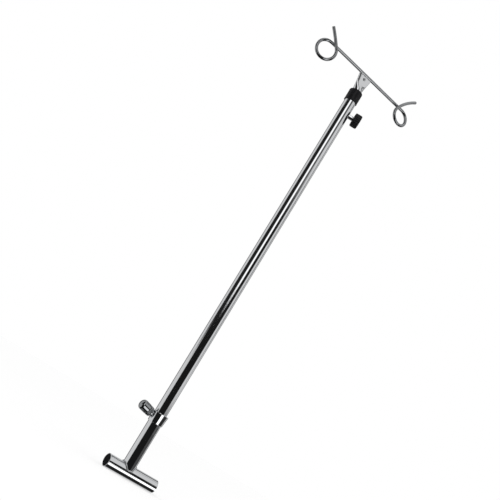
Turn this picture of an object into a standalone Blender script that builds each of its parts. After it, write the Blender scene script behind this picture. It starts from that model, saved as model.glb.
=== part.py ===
"""Telescopic chrome drip pole on a T-shaped tube foot, modelled in Blender 4.5.

The foot is a short cross tube with an upright socket tube welded on it. The main
tube slides and turns in the socket under a chrome thumb screw. The hook stage
slides and turns in the main tube under a black knob, and its flattened top
carries one wire bent into a pigtail loop at each end.

Metres, +Z up the pole, +X along the cross tube. The origin is where the pole's
axis crosses the cross tube's axis.
"""

from math import copysign, cos, pi, radians, sin, sqrt, tan

import bmesh
import bpy
from mathutils import Matrix, Vector

# ---------------------------------------------------------------- driving dimensions
GAP = 0.0003                 # clearance kept between pieces that touch or slide
SEGMENTS = 48                # sides of a large round piece
SMALL_SEGMENTS = 24          # sides of a small or hidden round piece

# cross tube of the foot
TEE_RADIUS = 0.0127
TEE_WALL = 0.0012
TEE_LEFT = 0.0445            # from the pole's axis to the left end
TEE_RIGHT = 0.0665           # from the pole's axis to the right end

# socket tube and its collar
SOCKET_RADIUS = 0.0133
SOCKET_WALL = 0.0005
SOCKET_BOTTOM = 0.0030       # lowest point of the tube's coped end
SOCKET_TOP = 0.1150
COLLAR_BOTTOM_RADIUS = 0.0148
COLLAR_TOP_RADIUS = 0.0169
COLLAR_BOTTOM = 0.0970
COLLAR_TOP = 0.1174

# main tube
MAIN_RADIUS = 0.0125
MAIN_WALL = 0.0012
MAIN_BOTTOM = 0.0200
MAIN_TOP = 0.8530

# black cap on the main tube
CAP_RADIUS = 0.0142
CAP_BOTTOM = 0.8310
CAP_TOP = 0.8575
CAP_ROUND = 0.0035
BUSHING_BOTTOM = 0.8160
BUSHING_FLANGE = 0.0010

# hook stage tube and its flattened top
INNER_RADIUS = 0.0095
INNER_WALL = 0.0012
INNER_BOTTOM = 0.0600
FLATTEN_START = 0.8580
PRESS_END = 0.8800           # the two faces are pressed flat from here up
WIDEN_END = 0.8930           # the tube goes on widening up to here
FLAT_HALF_WIDTH = 0.0165
FLAT_HALF_THICKNESS = 0.0021
STOP_BOTTOM = 0.1820
STOP_TOP = 0.1975

# hook wire
WIRE_RADIUS = 0.003175
WIRE_HEIGHT = 0.8970         # height of the wire's straight bar
# each loop: reach is from the pole's axis to the loop's top, yaw and tilt set its
# plane, turn is how far it goes round before its tail, climb is how far it spirals
# to the front meanwhile, and the tail goes on turning by tail_turn
LEFT_LOOP = {
    "reach": 0.1058, "radius": 0.0204, "yaw": -14.0, "tilt": -1.0,
    "turn": 306.0, "climb": 0.0062, "tail": 0.0455, "tail_turn": 6.0,
}
RIGHT_LOOP = {
    "reach": 0.1117, "radius": 0.0189, "yaw": -1.5, "tilt": -14.5,
    "turn": 297.0, "climb": 0.0072, "tail": 0.0620, "tail_turn": 26.0,
}
BEND_RADIUS = 0.0300         # bend between the bar and a yawed loop
POINT_STEP = 9.0             # degrees between the loop's points

# lower thumb screw, leaning up from the collar towards the left
LOWER_SCREW_POINT = Vector((-MAIN_RADIUS, 0.0, 0.1090))
LOWER_SCREW_LEAN = 12.0
# knob below the cap, level, towards the right and a little to the front
KNOB_YAW = -26.0
KNOB_HEIGHT = 0.8028
KNOB_DIRECTION = Vector((cos(radians(KNOB_YAW)), sin(radians(KNOB_YAW)), 0.0))
KNOB_POINT = KNOB_DIRECTION * MAIN_RADIUS + Vector((0.0, 0.0, KNOB_HEIGHT))

STUD_RADIUS = 0.0030
STUD_HOLE_RADIUS = 0.0033
PAD_RADIUS = 0.0028
PAD_LENGTH = 0.0022


# ---------------------------------------------------------------- helpers
def clear_objects():
    for scene_object in list(bpy.data.objects):
        bpy.data.objects.remove(scene_object, do_unlink=True)


def make_material(name, colour, metallic, roughness):
    material = bpy.data.materials.new(name)
    material.use_nodes = True
    shader = material.node_tree.nodes["Principled BSDF"]
    shader.inputs["Base Color"].default_value = (*colour, 1.0)
    shader.inputs["Metallic"].default_value = metallic
    shader.inputs["Roughness"].default_value = roughness
    return material


def finish_mesh(name, bm, material, parent=None):
    """Turn a bmesh into a smooth-shaded object, in its parent's space."""
    bmesh.ops.recalc_face_normals(bm, faces=bm.faces)
    mesh = bpy.data.meshes.new(name)
    bm.to_mesh(mesh)
    bm.free()
    mesh.shade_smooth()
    mesh.set_sharp_from_angle(angle=radians(35.0))
    mesh.materials.append(material)
    new_object = bpy.data.objects.new(name, mesh)
    bpy.context.collection.objects.link(new_object)
    new_object.parent = parent
    return new_object


def turned(name, outline, material, parent=None, segments=SEGMENTS):
    """Spin an outline of (radius, height) pairs about Z.

    An outline that starts and ends on the axis makes a solid piece, and one
    that stays off the axis is closed into a ring.
    """
    bm = bmesh.new()
    verts = [bm.verts.new((radius, 0.0, height)) for radius, height in outline]
    edges = [bm.edges.new(pair) for pair in zip(verts, verts[1:])]
    if outline[0][0] > 0.0:
        edges.append(bm.edges.new((verts[-1], verts[0])))
    bmesh.ops.spin(
        bm,
        geom=verts + edges,
        cent=(0.0, 0.0, 0.0),
        axis=(0.0, 0.0, 1.0),
        angle=2.0 * pi,
        steps=segments,
        use_merge=True,
    )
    bmesh.ops.remove_doubles(bm, verts=bm.verts, dist=1e-6)
    return finish_mesh(name, bm, material, parent)


def ring_outline(inner, outer, bottom, top, chamfer=0.0):
    """Outline of a tube or ring, with its outer edges chamfered."""
    return [
        (inner, bottom),
        (outer - chamfer, bottom),
        (outer, bottom + chamfer),
        (outer, top - chamfer),
        (outer - chamfer, top),
        (inner, top),
    ] if chamfer else [(inner, bottom), (outer, bottom), (outer, top), (inner, top)]


def arc(centre, radius, start, end, steps):
    """Points (radius, height) on an arc, from one angle to another in degrees."""
    points = []
    for step in range(steps + 1):
        angle = radians(start + (end - start) * step / steps)
        points.append((centre[0] + radius * cos(angle), centre[1] + radius * sin(angle)))
    return points


def make_cutter(name, radius, length, matrix):
    """A hidden cylinder along its own Z, centred on the matrix's origin."""
    bm = bmesh.new()
    bmesh.ops.create_cone(
        bm,
        cap_ends=True,
        segments=SEGMENTS,
        radius1=radius,
        radius2=radius,
        depth=length,
    )
    mesh = bpy.data.meshes.new(name)
    bm.to_mesh(mesh)
    bm.free()
    cutter = bpy.data.objects.new(name, mesh)
    bpy.context.collection.objects.link(cutter)
    cutter.matrix_world = matrix
    cutter.hide_render = True
    cutter.display_type = "WIRE"
    return cutter


def cut(target, cutter):
    modifier = target.modifiers.new("cut by " + cutter.name, "BOOLEAN")
    modifier.operation = "DIFFERENCE"
    modifier.solver = "EXACT"
    modifier.object = cutter


def make_empty(name, location, direction):
    """An empty whose Z axis points along a direction."""
    empty = bpy.data.objects.new(name, None)
    empty.empty_display_size = 0.02
    bpy.context.collection.objects.link(empty)
    turn = Vector((0.0, 0.0, 1.0)).rotation_difference(direction)
    empty.matrix_world = Matrix.Translation(location) @ turn.to_matrix().to_4x4()
    return empty


def along(point, direction):
    """Matrix with its origin at a point and its Z axis along a direction."""
    turn = Vector((0.0, 0.0, 1.0)).rotation_difference(direction)
    return Matrix.Translation(point) @ turn.to_matrix().to_4x4()


def wire_object(name, points, radius, material, resolution, cyclic=False):
    """A round wire through the points, with filled ends."""
    curve = bpy.data.curves.new(name, "CURVE")
    curve.dimensions = "3D"
    curve.bevel_depth = radius
    curve.bevel_resolution = resolution
    curve.use_fill_caps = not cyclic
    spline = curve.splines.new("POLY")
    spline.points.add(len(points) - 1)
    for spline_point, position in zip(spline.points, points):
        spline_point.co = (*position, 1.0)
    spline.use_cyclic_u = cyclic
    spline.use_smooth = True
    curve.materials.append(material)
    new_object = bpy.data.objects.new(name, curve)
    bpy.context.collection.objects.link(new_object)
    return new_object


# ---------------------------------------------------------------- materials
def make_materials():
    return {
        "chrome": make_material("chrome", (0.80, 0.81, 0.83), 1.0, 0.07),
        "steel": make_material("zinc_plated_steel", (0.62, 0.63, 0.64), 1.0, 0.32),
        "brass": make_material("brass", (0.72, 0.52, 0.22), 1.0, 0.30),
        "black": make_material("black_plastic", (0.012, 0.012, 0.014), 0.0, 0.38),
        "nylon": make_material("natural_nylon", (0.72, 0.70, 0.64), 0.0, 0.50),
    }


# ---------------------------------------------------------------- foot
def build_tee_tube(materials):
    outline = ring_outline(
        TEE_RADIUS - TEE_WALL, TEE_RADIUS, -TEE_LEFT, TEE_RIGHT, chamfer=0.0004
    )
    tube = turned("tee_tube", outline, materials["chrome"])
    tube.rotation_euler = (0.0, pi / 2.0, 0.0)
    return tube


def build_tee_plug(name, end, side, materials):
    """Moulded plug pressed into one end of the cross tube."""
    bore = TEE_RADIUS - TEE_WALL - GAP
    body = bore - 0.0008
    face = 0.0004
    length = 0.0140
    cup_wall = 0.0016
    outline = [
        (0.0, face),
        (bore - 0.0006, face),
        (bore, face - 0.0006),
        (bore, -0.0020),
        (body, -0.0024),
    ]
    for rib in range(3):
        top = -0.0048 - rib * 0.0030
        outline += [(body, top), (bore, top - 0.0006), (body, top - 0.0012)]
    outline += [
        (body, -length),
        (body - cup_wall, -length),
        (body - cup_wall, -0.0022),
        (0.0, -0.0022),
    ]
    plug = turned(name, outline, materials["black"])
    plug.location = (end, 0.0, 0.0)
    plug.rotation_euler = (0.0, side * pi / 2.0, 0.0)
    return plug


def build_socket_tube(materials):
    outline = ring_outline(
        SOCKET_RADIUS - SOCKET_WALL, SOCKET_RADIUS, SOCKET_BOTTOM, SOCKET_TOP
    )
    tube = turned("socket_tube", outline, materials["chrome"])
    cope = make_cutter(
        "socket_cope_cutter",
        TEE_RADIUS + GAP,
        3.0 * TEE_RADIUS,
        Matrix.Rotation(pi / 2.0, 4, "Y"),
    )
    cut(tube, cope)
    return tube


def build_tee_weld(materials):
    """Polished bead in the corner where the socket tube meets the cross tube."""
    bead = 0.0009
    on_socket = SOCKET_RADIUS + GAP + bead
    on_tee = TEE_RADIUS + GAP + bead
    points = []
    for step in range(SEGMENTS):
        angle = 2.0 * pi * step / SEGMENTS
        across = on_socket * sin(angle)
        height = sqrt(max(on_tee**2 - across**2, SOCKET_BOTTOM**2))
        points.append((on_socket * cos(angle), across, height))
    return wire_object("tee_weld_bead", points, bead, materials["chrome"], 2, cyclic=True)


def build_collar(materials):
    """Flared ring over the top of the socket tube, with a lip above the tube's end."""
    bore = SOCKET_RADIUS + GAP
    lip_bore = MAIN_RADIUS + GAP
    lip_bottom = SOCKET_TOP + GAP
    edge = 0.0007
    outline = [
        (bore, COLLAR_BOTTOM),
        (COLLAR_BOTTOM_RADIUS - edge, COLLAR_BOTTOM),
        (COLLAR_BOTTOM_RADIUS, COLLAR_BOTTOM + edge),
        (COLLAR_TOP_RADIUS, COLLAR_TOP - edge),
        (COLLAR_TOP_RADIUS - edge, COLLAR_TOP),
        (lip_bore, COLLAR_TOP),
        (lip_bore, lip_bottom),
        (bore, lip_bottom),
    ]
    return turned("socket_collar", outline, materials["chrome"])


# ---------------------------------------------------------------- main tube
def build_main_tube(materials):
    outline = ring_outline(
        MAIN_RADIUS - MAIN_WALL, MAIN_RADIUS, MAIN_BOTTOM, MAIN_TOP, chamfer=0.0003
    )
    return turned("main_tube", outline, materials["chrome"])


def build_main_glide(materials):
    """Plastic foot plug on which the main tube stands and turns."""
    spigot = MAIN_RADIUS - MAIN_WALL - GAP
    flange_top = MAIN_BOTTOM - GAP
    outline = [
        (0.0, flange_top - 0.0030),
        (MAIN_RADIUS - 0.0008, flange_top - 0.0030),
        (MAIN_RADIUS, flange_top - 0.0022),
        (MAIN_RADIUS, flange_top),
        (spigot, flange_top),
        (spigot, flange_top + 0.0130),
        (spigot - 0.0010, flange_top + 0.0140),
        (spigot - 0.0022, flange_top + 0.0140),
        (spigot - 0.0022, flange_top),
        (0.0, flange_top),
    ]
    turned("main_tube_glide", outline, materials["nylon"], segments=SMALL_SEGMENTS)


def build_cap(materials):
    """Moulded cap over the main tube's end, open for the hook stage's tube."""
    bore = MAIN_RADIUS + GAP
    hole = INNER_RADIUS + GAP
    ceiling = MAIN_TOP + BUSHING_FLANGE + 2.0 * GAP
    shoulder = (CAP_RADIUS - CAP_ROUND, CAP_TOP - CAP_ROUND)
    outline = [(bore, CAP_BOTTOM), (CAP_RADIUS - 0.0004, CAP_BOTTOM)]
    outline += [(CAP_RADIUS, CAP_BOTTOM + 0.0004)]
    outline += arc(shoulder, CAP_ROUND, 0.0, 90.0, 6)
    outline += [(hole, CAP_TOP), (hole, ceiling), (bore, ceiling)]
    turned("top_cap", outline, materials["black"])


def build_bushing(materials):
    """Flanged sleeve that guides the hook stage's tube in the main tube."""
    hole = INNER_RADIUS + GAP
    outer = MAIN_RADIUS - MAIN_WALL - GAP
    flange_bottom = MAIN_TOP + GAP
    outline = [
        (hole, BUSHING_BOTTOM),
        (outer - 0.0004, BUSHING_BOTTOM),
        (outer, BUSHING_BOTTOM + 0.0008),
        (outer, flange_bottom),
        (MAIN_RADIUS, flange_bottom),
        (MAIN_RADIUS, flange_bottom + BUSHING_FLANGE),
        (hole, flange_bottom + BUSHING_FLANGE),
    ]
    turned("guide_bushing", outline, materials["nylon"])


# ---------------------------------------------------------------- hook stage
def flattened_ring(height):
    """Section of the hook stage's tube at a height, from round to wide and flat."""
    widened = min(1.0, (height - FLATTEN_START) / (WIDEN_END - FLATTEN_START))
    pressed = min(1.0, (height - FLATTEN_START) / (PRESS_END - FLATTEN_START))
    pressed = 0.5 - 0.5 * cos(pi * pressed)
    width = INNER_RADIUS + (FLAT_HALF_WIDTH - INNER_RADIUS) * widened
    thickness = INNER_RADIUS + (FLAT_HALF_THICKNESS - INNER_RADIUS) * pressed
    power = 2.0 / (2.0 + 0.7 * pressed)
    points = []
    for step in range(SEGMENTS):
        angle = 2.0 * pi * (step + 0.5) / SEGMENTS
        across = abs(cos(angle)) ** power
        through = abs(sin(angle)) ** power
        across = across if cos(angle) > 0.0 else -across
        through = through if sin(angle) > 0.0 else -through
        points.append(Vector((width * across, thickness * through, height)))
    return points


def round_ring(radius, height):
    points = []
    for step in range(SEGMENTS):
        angle = 2.0 * pi * (step + 0.5) / SEGMENTS
        points.append(Vector((radius * cos(angle), radius * sin(angle), height)))
    return points


def lofted(name, rings, material):
    """Skin a chain of rings with the same number of points, with both ends filled."""
    bm = bmesh.new()
    loops = [[bm.verts.new(point) for point in ring] for ring in rings]
    for lower, upper in zip(loops, loops[1:]):
        for index in range(len(lower)):
            after = (index + 1) % len(lower)
            bm.faces.new((lower[index], lower[after], upper[after], upper[index]))
    bm.faces.new(loops[0])
    bm.faces.new(loops[-1])
    return finish_mesh(name, bm, material)


def build_inner_tube(materials):
    """Hook stage tube: its top is pressed flat and notched for the wire."""
    bore = INNER_RADIUS - INNER_WALL
    bore_top = FLATTEN_START - 0.0080
    flat_top = WIRE_HEIGHT - 0.0010
    rings = [round_ring(bore, bore_top), round_ring(bore, INNER_BOTTOM)]
    rings += [round_ring(INNER_RADIUS, INNER_BOTTOM)]
    steps = 12
    for step in range(steps + 1):
        height = FLATTEN_START + (WIDEN_END - FLATTEN_START) * step / steps
        rings.append(flattened_ring(height))
    rings.append(flattened_ring(flat_top))
    tube = lofted("inner_tube", rings, materials["chrome"])
    seat = make_cutter(
        "wire_seat_cutter",
        WIRE_RADIUS + GAP,
        4.0 * FLAT_HALF_WIDTH,
        along(Vector((0.0, 0.0, WIRE_HEIGHT)), Vector((1.0, 0.0, 0.0))),
    )
    cut(tube, seat)
    return tube


def build_stop_sleeve(materials):
    """Sleeve crimped on the hook stage's tube, which stops under the knob's pad."""
    outline = ring_outline(
        INNER_RADIUS + GAP,
        MAIN_RADIUS - MAIN_WALL - GAP,
        STOP_BOTTOM,
        STOP_TOP,
        chamfer=0.0004,
    )
    turned("stop_sleeve", outline, materials["steel"])


def build_inner_glide(materials):
    """Plastic plug that guides the lower end of the hook stage's tube."""
    outer = MAIN_RADIUS - MAIN_WALL - GAP
    spigot = INNER_RADIUS - INNER_WALL - GAP
    top = INNER_BOTTOM - GAP
    outline = [
        (0.0, top - 0.0140),
        (outer - 0.0008, top - 0.0140),
        (outer, top - 0.0132),
        (outer, top - 0.0008),
        (outer - 0.0008, top),
        (spigot, top),
        (spigot, top + 0.0180),
        (spigot - 0.0018, top + 0.0180),
        (spigot - 0.0018, top),
        (0.0, top),
    ]
    turned("inner_tube_glide", outline, materials["nylon"], segments=SMALL_SEGMENTS)


def loop_points(side, loop):
    """Centre line of one end of the wire, from the bar's end to the tail's tip."""
    yaw = radians(loop["yaw"])
    tilt = radians(loop["tilt"])
    radius = loop["radius"]
    forward = Vector((-side * sin(yaw), -cos(yaw), 0.0))
    outward = Vector((side * cos(yaw), -sin(yaw), 0.0))
    upward = cos(tilt) * Vector((0.0, 0.0, 1.0)) + sin(tilt) * forward
    normal = cos(tilt) * forward - sin(tilt) * Vector((0.0, 0.0, 1.0))

    # the bar bends by the yaw just before the loop starts
    points = []
    bend = abs(yaw)
    bend_start = loop["reach"] - BEND_RADIUS * sin(bend)
    bend_steps = max(2, round(abs(loop["yaw"]) / 4.0))
    for step in range(bend_steps + 1):
        angle = bend * step / bend_steps
        points.append(Vector((
            side * (bend_start + BEND_RADIUS * sin(angle)),
            -copysign(BEND_RADIUS * (1.0 - cos(angle)), yaw),
            WIRE_HEIGHT,
        )))
    top = points.pop()

    # the loop climbs towards the front, so that its tail clears the bar
    centre = top - radius * upward
    turn = radians(loop["turn"])
    turn_steps = round(loop["turn"] / POINT_STEP)
    for step in range(turn_steps + 1):
        share = step / turn_steps
        angle = turn * share
        points.append(
            centre
            + radius * (sin(angle) * outward + cos(angle) * upward)
            + loop["climb"] * share * normal
        )

    # the tail goes on in nearly a straight line, turning a little more outwards
    tail_steps = 8
    angle = turn
    for step in range(tail_steps):
        angle += radians(loop["tail_turn"]) / tail_steps
        heading = cos(angle) * outward - sin(angle) * upward
        points.append(points[-1] + heading * loop["tail"] / tail_steps)
    return points


def build_hook_wire(materials):
    """One wire: left tail, left loop, bar, right loop, right tail."""
    left = loop_points(-1.0, LEFT_LOOP)
    right = loop_points(1.0, RIGHT_LOOP)
    left.reverse()
    return wire_object("hook_wire", left + right, WIRE_RADIUS, materials["chrome"], 3)


def build_hook_weld(name, side, materials):
    """Fillet bead between the wire and one face of the flattened tube."""
    bead = 0.0008
    from_wire = WIRE_RADIUS + GAP + bead
    across = FLAT_HALF_THICKNESS + GAP + bead
    height = WIRE_HEIGHT - sqrt(from_wire**2 - across**2)
    half_length = FLAT_HALF_WIDTH - 0.0035
    points = []
    for step in range(9):
        points.append((half_length * (step / 4.0 - 1.0), side * across, height))
    return wire_object(name, points, bead, materials["chrome"], 2)


def build_crimp_rivet(materials):
    """Round-headed rivet through the flattened walls, below the wire."""
    shank = 0.0017
    head = 0.0032
    head_height = 0.0014
    reach = FLAT_HALF_THICKNESS + GAP
    outline = [(0.0, -reach - head_height)]
    outline += [(head * 0.70, -reach - head_height * 0.72), (head, -reach)]
    outline += [(shank, -reach), (shank, reach)]
    outline += [(head, reach), (head * 0.70, reach + head_height * 0.72)]
    outline += [(0.0, reach + head_height)]
    rivet = turned("crimp_rivet", outline, materials["steel"], segments=SMALL_SEGMENTS)
    rivet.location = (0.0, 0.0, WIRE_HEIGHT - 0.0095)
    rivet.rotation_euler = (pi / 2.0, 0.0, 0.0)
    return rivet, shank + GAP


# ---------------------------------------------------------------- clamp screws
def build_pad(name, frame, materials):
    """Brass tip between a screw's end and the tube it presses on."""
    outline = [
        (0.0, GAP),
        (PAD_RADIUS - 0.0003, GAP),
        (PAD_RADIUS, GAP + 0.0003),
        (PAD_RADIUS, GAP + PAD_LENGTH),
        (0.0, GAP + PAD_LENGTH),
    ]
    return turned(name, outline, materials["brass"], frame, SMALL_SEGMENTS)


def build_stud(name, frame, start, end, materials):
    outline = [
        (0.0, start),
        (STUD_RADIUS - 0.0005, start),
        (STUD_RADIUS, start + 0.0005),
        (STUD_RADIUS, end - 0.0005),
        (STUD_RADIUS - 0.0005, end),
        (0.0, end),
    ]
    return turned(name, outline, materials["steel"], frame, SMALL_SEGMENTS)


def build_boss(name, frame, outer, start, end, materials):
    """Threaded boss that a clamp screw turns in."""
    outline = ring_outline(STUD_HOLE_RADIUS, outer, start, end, chamfer=0.0004)
    return turned(name, outline, materials["chrome"], frame, SMALL_SEGMENTS)


def build_lower_screw(frame, materials):
    """Stud and domed chrome head of the lower thumb screw."""
    stud_start = GAP + PAD_LENGTH + GAP
    root = 0.0062
    flange = 0.0092
    drum = 0.0099
    waist = 0.0088
    crown = 0.0340
    socket_depth = 0.0120
    build_stud(
        "lower_screw_stud", frame, stud_start, root + socket_depth - GAP, materials
    )
    socket_end = root + socket_depth
    dome_height = 0.0070
    outline = [(0.0, socket_end), (STUD_HOLE_RADIUS, socket_end), (STUD_HOLE_RADIUS, root)]
    outline += [(flange, root), (flange, root + 0.0014), (waist, root + 0.0020)]
    outline += [(waist, root + 0.0082), (drum - 0.0006, root + 0.0090)]
    outline += [(drum, root + 0.0098)]
    dome_steps = 7
    for step in range(dome_steps + 1):
        angle = 0.5 * pi * step / dome_steps
        height = crown - dome_height * (1.0 - sin(angle))
        outline.append((drum * cos(angle) if step < dome_steps else 0.0, height))
    turned("lower_screw_head", outline, materials["chrome"], frame)


def build_knob(frame, materials):
    """Stud, steel insert and black head of the knob below the cap."""
    stud_start = GAP + PAD_LENGTH + GAP
    neck = 0.0115
    inner_face = 0.0127
    outer_face = 0.0275
    insert_end = inner_face + 0.0100
    insert_radius = 0.0046
    rim = 0.0145
    build_stud("knob_stud", frame, stud_start, insert_end - GAP, materials)
    insert = ring_outline(STUD_HOLE_RADIUS, insert_radius, neck, insert_end, chamfer=0.0003)
    turned("knob_insert", insert, materials["steel"], frame, SMALL_SEGMENTS)
    bore = insert_radius + GAP
    edge = 0.0026
    outline = [(0.0, insert_end + GAP), (bore, insert_end + GAP), (bore, inner_face)]
    outline += arc((rim - edge, inner_face + edge), edge, -90.0, 0.0, 5)
    outline += arc((rim - edge, outer_face - edge), edge, 0.0, 90.0, 5)
    outline += [(0.0, outer_face)]
    turned("knob_head", outline, materials["black"], frame)


# ---------------------------------------------------------------- assembly
def build_foot(materials):
    build_tee_tube(materials)
    build_tee_plug("tee_plug_left", -TEE_LEFT, -1.0, materials)
    build_tee_plug("tee_plug_right", TEE_RIGHT, 1.0, materials)
    build_tee_weld(materials)
    return build_socket_tube(materials), build_collar(materials)


def build_hook_stage(materials):
    tube = build_inner_tube(materials)
    rivet, hole_radius = build_crimp_rivet(materials)
    hole = make_cutter(
        "rivet_hole_cutter",
        hole_radius,
        4.0 * INNER_RADIUS,
        along(rivet.location, Vector((0.0, 1.0, 0.0))),
    )
    cut(tube, hole)
    build_stop_sleeve(materials)
    build_inner_glide(materials)
    build_hook_wire(materials)
    build_hook_weld("hook_weld_front", -1.0, materials)
    build_hook_weld("hook_weld_back", 1.0, materials)


def build_lower_clamp(socket, collar, materials):
    lean = radians(LOWER_SCREW_LEAN)
    direction = Vector((-cos(lean), 0.0, sin(lean)))
    start = LOWER_SCREW_POINT + direction * PAD_RADIUS * tan(lean)
    frame = make_empty("lower_screw_axis", start, direction)
    boss_radius = 0.0052
    build_pad("lower_screw_pad", frame, materials)
    build_boss("lower_screw_boss", frame, boss_radius, 0.0027, 0.0059, materials)
    build_lower_screw(frame, materials)
    stud_hole = make_cutter(
        "socket_hole_cutter", STUD_HOLE_RADIUS, 0.012, along(LOWER_SCREW_POINT, direction)
    )
    cut(socket, stud_hole)
    boss_hole = make_cutter(
        "collar_hole_cutter",
        boss_radius + GAP,
        0.012,
        along(LOWER_SCREW_POINT, direction),
    )
    cut(collar, boss_hole)


def build_knob_clamp(main_tube, materials):
    start = KNOB_POINT - KNOB_DIRECTION * (MAIN_RADIUS - INNER_RADIUS)
    frame = make_empty("knob_axis", start, KNOB_DIRECTION)
    build_pad("knob_pad", frame, materials)
    boss = build_boss("knob_boss", frame, 0.0048, 0.0010, 0.0112, materials)
    cope = make_cutter(
        "knob_boss_cope_cutter",
        MAIN_RADIUS + GAP,
        0.030,
        Matrix.Translation(Vector((0.0, 0.0, KNOB_POINT.z))),
    )
    cut(boss, cope)
    hole = make_cutter(
        "main_hole_cutter", STUD_HOLE_RADIUS, 0.012, along(KNOB_POINT, KNOB_DIRECTION)
    )
    cut(main_tube, hole)
    build_knob(frame, materials)


def main():
    clear_objects()
    materials = make_materials()
    socket, collar = build_foot(materials)
    main_tube = build_main_tube(materials)
    build_main_glide(materials)
    build_cap(materials)
    build_bushing(materials)
    build_hook_stage(materials)
    build_lower_clamp(socket, collar, materials)
    build_knob_clamp(main_tube, materials)


main()
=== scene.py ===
"""Visual model and studio of the drip pole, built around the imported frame.

Metres, in the frame's own axes: +Z up the pole, +X along the cross tube towards
its longer end. Nineteen CAD solids are replaced by a finer piece of about the same
size on the same body. The other seven keep their shape and get a finer material.
"""

from math import atan2, copysign, cos, pi, radians, sin, sqrt

import bmesh
import bpy
from mathutils import Matrix, Vector


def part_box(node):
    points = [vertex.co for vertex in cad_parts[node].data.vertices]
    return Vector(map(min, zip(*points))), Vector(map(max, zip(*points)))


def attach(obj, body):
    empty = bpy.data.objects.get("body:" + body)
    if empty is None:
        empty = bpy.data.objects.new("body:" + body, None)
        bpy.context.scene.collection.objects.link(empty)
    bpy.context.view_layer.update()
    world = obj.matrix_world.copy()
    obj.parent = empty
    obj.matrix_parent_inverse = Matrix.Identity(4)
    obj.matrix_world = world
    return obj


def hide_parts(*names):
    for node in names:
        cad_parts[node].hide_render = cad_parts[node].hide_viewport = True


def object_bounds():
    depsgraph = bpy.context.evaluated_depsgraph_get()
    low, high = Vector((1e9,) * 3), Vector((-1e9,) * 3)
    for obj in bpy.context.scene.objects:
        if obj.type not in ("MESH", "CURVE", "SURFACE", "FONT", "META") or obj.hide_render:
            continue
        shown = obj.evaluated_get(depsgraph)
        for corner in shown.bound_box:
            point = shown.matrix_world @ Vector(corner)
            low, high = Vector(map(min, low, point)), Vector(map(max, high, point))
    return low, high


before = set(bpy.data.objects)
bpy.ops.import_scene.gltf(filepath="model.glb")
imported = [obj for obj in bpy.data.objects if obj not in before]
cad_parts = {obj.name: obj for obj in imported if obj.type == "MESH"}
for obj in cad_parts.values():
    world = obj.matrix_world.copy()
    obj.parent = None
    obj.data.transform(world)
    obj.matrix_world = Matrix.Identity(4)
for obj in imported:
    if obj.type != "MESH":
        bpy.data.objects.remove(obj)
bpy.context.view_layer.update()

# ---------------------------------------------------------------- dimensions
GAP = 0.0003
ROUND = 128                    # sides of a large visible round piece
FINE = 64                      # sides of a small one
SHARP_ANGLE = 38.0             # degrees between faces that keep a hard edge

TEE_RADIUS = 0.0127
TEE_WALL = 0.0012
SOCKET_RADIUS = 0.0133
SOCKET_WALL = 0.0005
MAIN_RADIUS = 0.0125
MAIN_WALL = 0.0012
CAP_RADIUS = 0.0142
INNER_RADIUS = 0.0095
INNER_WALL = 0.0012
FLATTEN_START = 0.8580
PRESS_END = 0.8800
WIDEN_END = 0.8930
FLAT_HALF_WIDTH = 0.0165
FLAT_HALF_THICKNESS = 0.0021
COLLAR_BOTTOM_RADIUS = 0.0148
COLLAR_TOP_RADIUS = 0.0169

WIRE_RADIUS = 0.003175
WIRE_HEIGHT = 0.8970
LEFT_LOOP = {
    "reach": 0.1058, "radius": 0.0204, "yaw": -14.0, "tilt": -1.0,
    "turn": 306.0, "climb": 0.0062, "tail": 0.0455, "tail_turn": 6.0,
}
RIGHT_LOOP = {
    "reach": 0.1117, "radius": 0.0189, "yaw": -1.5, "tilt": -14.5,
    "turn": 297.0, "climb": 0.0072, "tail": 0.0620, "tail_turn": 26.0,
}
BEND_RADIUS = 0.0300

SCREW_PITCH = 0.0010
THREAD_DEPTH = 0.00055
STUD_RADIUS = 0.0030
STUD_HOLE_RADIUS = 0.0033
STUD_HOLE_LENGTH = 0.012
BOSS_HOLE_RADIUS = 0.0055      # of the hole in the collar that takes the boss
LOWER_SCREW_LEAN = radians(12.0)
LOWER_SCREW_HEIGHT = 0.1090
LOWER_SCREW_STANDOFF = 0.000595
LOWER_SCREW_AXIS = Vector((-cos(LOWER_SCREW_LEAN), 0.0, sin(LOWER_SCREW_LEAN)))
LOWER_SCREW_START = (
    Vector((-MAIN_RADIUS, 0.0, LOWER_SCREW_HEIGHT)) + LOWER_SCREW_STANDOFF * LOWER_SCREW_AXIS
)
KNOB_TURN = radians(-26.0)
KNOB_HEIGHT = 0.8028
KNOB_AXIS = Vector((cos(KNOB_TURN), sin(KNOB_TURN), 0.0))
KNOB_START = INNER_RADIUS * KNOB_AXIS + Vector((0.0, 0.0, KNOB_HEIGHT))
WELD_RIPPLE = 0.00007
WELD_SINK = 0.00004
X_AXIS = Vector((1.0, 0.0, 0.0))
Y_AXIS = Vector((0.0, 1.0, 0.0))
Z_AXIS = Vector((0.0, 0.0, 1.0))


# ---------------------------------------------------------------- mesh helpers
def along(point, direction):
    """Matrix with its origin at a point and its Z axis along a direction."""
    turn = Z_AXIS.rotation_difference(direction)
    return Matrix.Translation(point) @ turn.to_matrix().to_4x4()


def mesh_object(name, bm, material):
    bmesh.ops.recalc_face_normals(bm, faces=bm.faces)
    mesh = bpy.data.meshes.new(name)
    bm.to_mesh(mesh)
    bm.free()
    mesh.shade_smooth()
    mesh.set_sharp_from_angle(angle=radians(SHARP_ANGLE))
    mesh.materials.append(material)
    piece = bpy.data.objects.new(name, mesh)
    bpy.context.scene.collection.objects.link(piece)
    return piece


def weight_normals(piece):
    """Keeps large faces evenly shaded beside small rounded edges."""
    modifier = piece.modifiers.new("even shading", "WEIGHTED_NORMAL")
    modifier.weight = 60
    modifier.keep_sharp = True


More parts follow.
